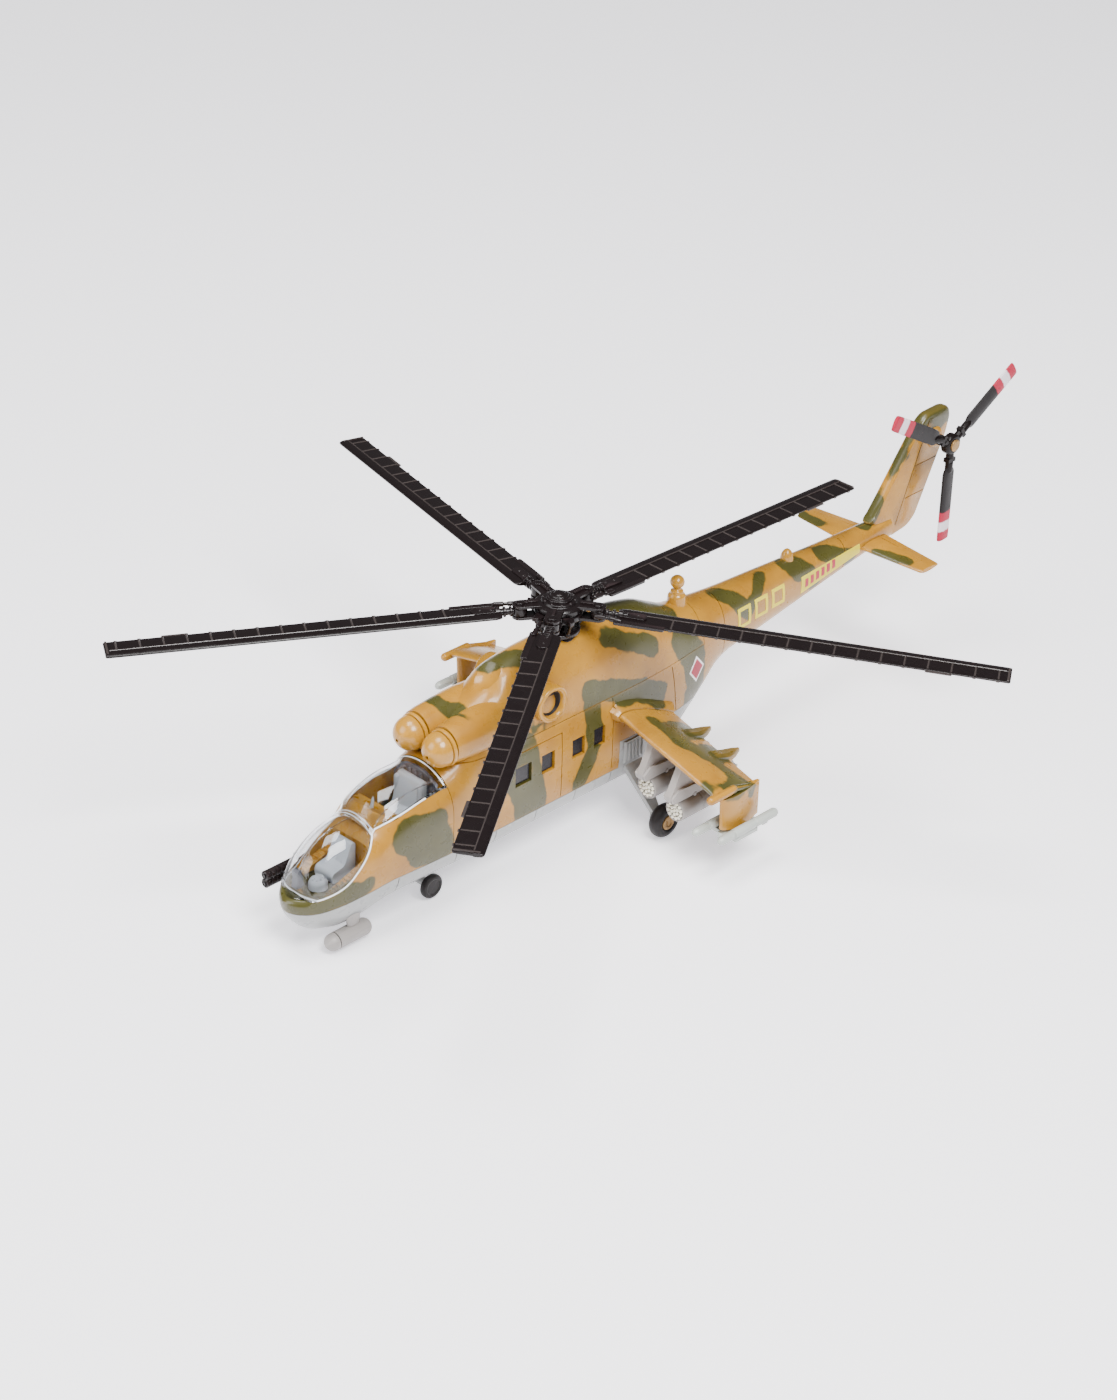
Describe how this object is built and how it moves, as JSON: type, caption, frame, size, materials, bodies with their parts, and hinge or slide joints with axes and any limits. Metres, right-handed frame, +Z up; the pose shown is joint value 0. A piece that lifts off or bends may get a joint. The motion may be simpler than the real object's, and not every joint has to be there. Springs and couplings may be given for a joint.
{
  "type": "toy helicopter",
  "caption": "Toy attack helicopter with turning rotors and wheels, swinging main blades, clear two-bubble canopy, stub wings with stores and fixed landing gear.",
  "frame": {"origin": "on the flat belly face, on the centre plane, straight under the centre of the main rotor head", "axes": "+Y aft along the body, -Y towards the nose, +X to port, +Z up along the height"},
  "size_m": [0.2066, 0.2712, 0.0787],
  "materials": {
    "desert_paint": "gloss",
    "belly_grey": "satin",
    "store_grey": "satin",
    "pale_grey": "satin",
    "rotor_black": "gloss",
    "tyre_black": "matt",
    "gold_paint": "satin",
    "window_dark": "gloss",
    "clear_plastic": "gloss"
  },
  "bodies": {
    "airframe": {"belly_tray": "belly_grey", "fuselage_left": "desert_paint", "fuselage_right": "desert_paint", "cabin_windows_left": "window_dark", "cabin_windows_right": "window_dark", "cockpit_nose": "desert_paint", "canopy": "clear_plastic", "gunner_seat": "belly_grey", "gunner_console": "store_grey", "pilot_seat": "belly_grey", "engine_cowling": "desert_paint", "intake_dome_left": "desert_paint", "intake_dome_right": "desert_paint", "exhaust_pipe_left": "desert_paint", "exhaust_pipe_right": "desert_paint", "dorsal_beacon": "desert_paint", "boom_beacon": "desert_paint", "tail_fin": "desert_paint", "stabiliser_left": "desert_paint", "stabiliser_right": "desert_paint", "wing_left": "desert_paint", "wing_right": "desert_paint", "inner_pylon_left": "store_grey", "inner_pylon_right": "store_grey", "outer_pylon_left": "store_grey", "outer_pylon_right": "store_grey", "inner_rocket_pod_left": "store_grey", "inner_rocket_pod_right": "store_grey", "outer_rocket_pod_left": "store_grey", "outer_rocket_pod_right": "store_grey", "missile_rail_left": "pale_grey", "missile_rail_right": "pale_grey", "inboard_missile_left": "pale_grey", "inboard_missile_right": "pale_grey", "outboard_missile_left": "pale_grey", "outboard_missile_right": "pale_grey", "main_strut_left": "belly_grey", "main_strut_right": "belly_grey", "nose_strut": "belly_grey", "twin_gun": "rotor_black", "chin_pod": "store_grey", "rotor_mast": "rotor_black"},
    "main_rotor": {"rotor_head": "rotor_black", "rotor_cap": "rotor_black"},
    "blade_a": {"blade_a": "rotor_black"},
    "blade_b": {"blade_b": "rotor_black"},
    "blade_c": {"blade_c": "rotor_black"},
    "blade_d": {"blade_d": "rotor_black"},
    "blade_e": {"blade_e": "rotor_black"},
    "tail_rotor": {"tail_rotor": "rotor_black", "tail_rotor_cap": "gold_paint", "tail_rotor_shaft": "rotor_black"},
    "main_wheel_left": {"main_tyre_left": "tyre_black", "main_hub_left": "gold_paint"},
    "nose_wheel_left": {"nose_wheel_left": "tyre_black"},
    "main_wheel_right": {"main_tyre_right": "tyre_black", "main_hub_right": "gold_paint"},
    "nose_wheel_right": {"nose_wheel_right": "tyre_black"}
  },
  "joints": [
    {"name": "main_rotor_spin", "type": "hinge", "parent": "airframe", "child": "main_rotor", "pos_m": [0, 0, 0.05335], "axis": [0, 0.0237, 0.9997], "continuous": true},
    {"name": "blade_a_swing", "type": "hinge", "parent": "main_rotor", "child": "blade_a", "pos_m": [-0.00522, -0.00852, 0.05355], "axis": [0, 0.0237, 0.9997], "range_deg": [-11.6, 12.4]},
    {"name": "blade_b_swing", "type": "hinge", "parent": "main_rotor", "child": "blade_b", "pos_m": [-0.00969, 0.00249, 0.05329], "axis": [0, 0.0237, 0.9997], "range_deg": [-10.7, 13.3]},
    {"name": "blade_c_swing", "type": "hinge", "parent": "main_rotor", "child": "blade_c", "pos_m": [-0.00026, 0.00999, 0.05311], "axis": [0, 0.0237, 0.9997], "range_deg": [-8.6, 15.4]},
    {"name": "blade_d_swing", "type": "hinge", "parent": "main_rotor", "child": "blade_d", "pos_m": [0.0083, 0.00558, 0.05322], "axis": [0, 0.0237, 0.9997], "range_deg": [-23, 1]},
    {"name": "blade_e_swing", "type": "hinge", "parent": "main_rotor", "child": "blade_e", "pos_m": [0.00574, -0.00819, 0.05354], "axis": [0, 0.0237, 0.9997], "range_deg": [-6.1, 17.9]},
    {"name": "tail_rotor_spin", "type": "hinge", "parent": "airframe", "child": "tail_rotor", "pos_m": [0, 0.1459, 0.05335], "axis": [1, 0, 0], "continuous": true},
    {"name": "main_wheel_left_spin", "type": "hinge", "parent": "airframe", "child": "main_wheel_left", "pos_m": [0.0265, 0.0138, -0.00345], "axis": [1, 0, 0], "continuous": true},
    {"name": "main_wheel_right_spin", "type": "hinge", "parent": "airframe", "child": "main_wheel_right", "pos_m": [-0.0265, 0.0138, -0.00345], "axis": [1, 0, 0], "continuous": true},
    {"name": "nose_wheel_left_spin", "type": "hinge", "parent": "airframe", "child": "nose_wheel_left", "pos_m": [0.0063, -0.0491, -0.00495], "axis": [1, 0, 0], "continuous": true},
    {"name": "nose_wheel_right_spin", "type": "hinge", "parent": "airframe", "child": "nose_wheel_right", "pos_m": [-0.0063, -0.0491, -0.00495], "axis": [1, 0, 0], "continuous": true}
  ]
}
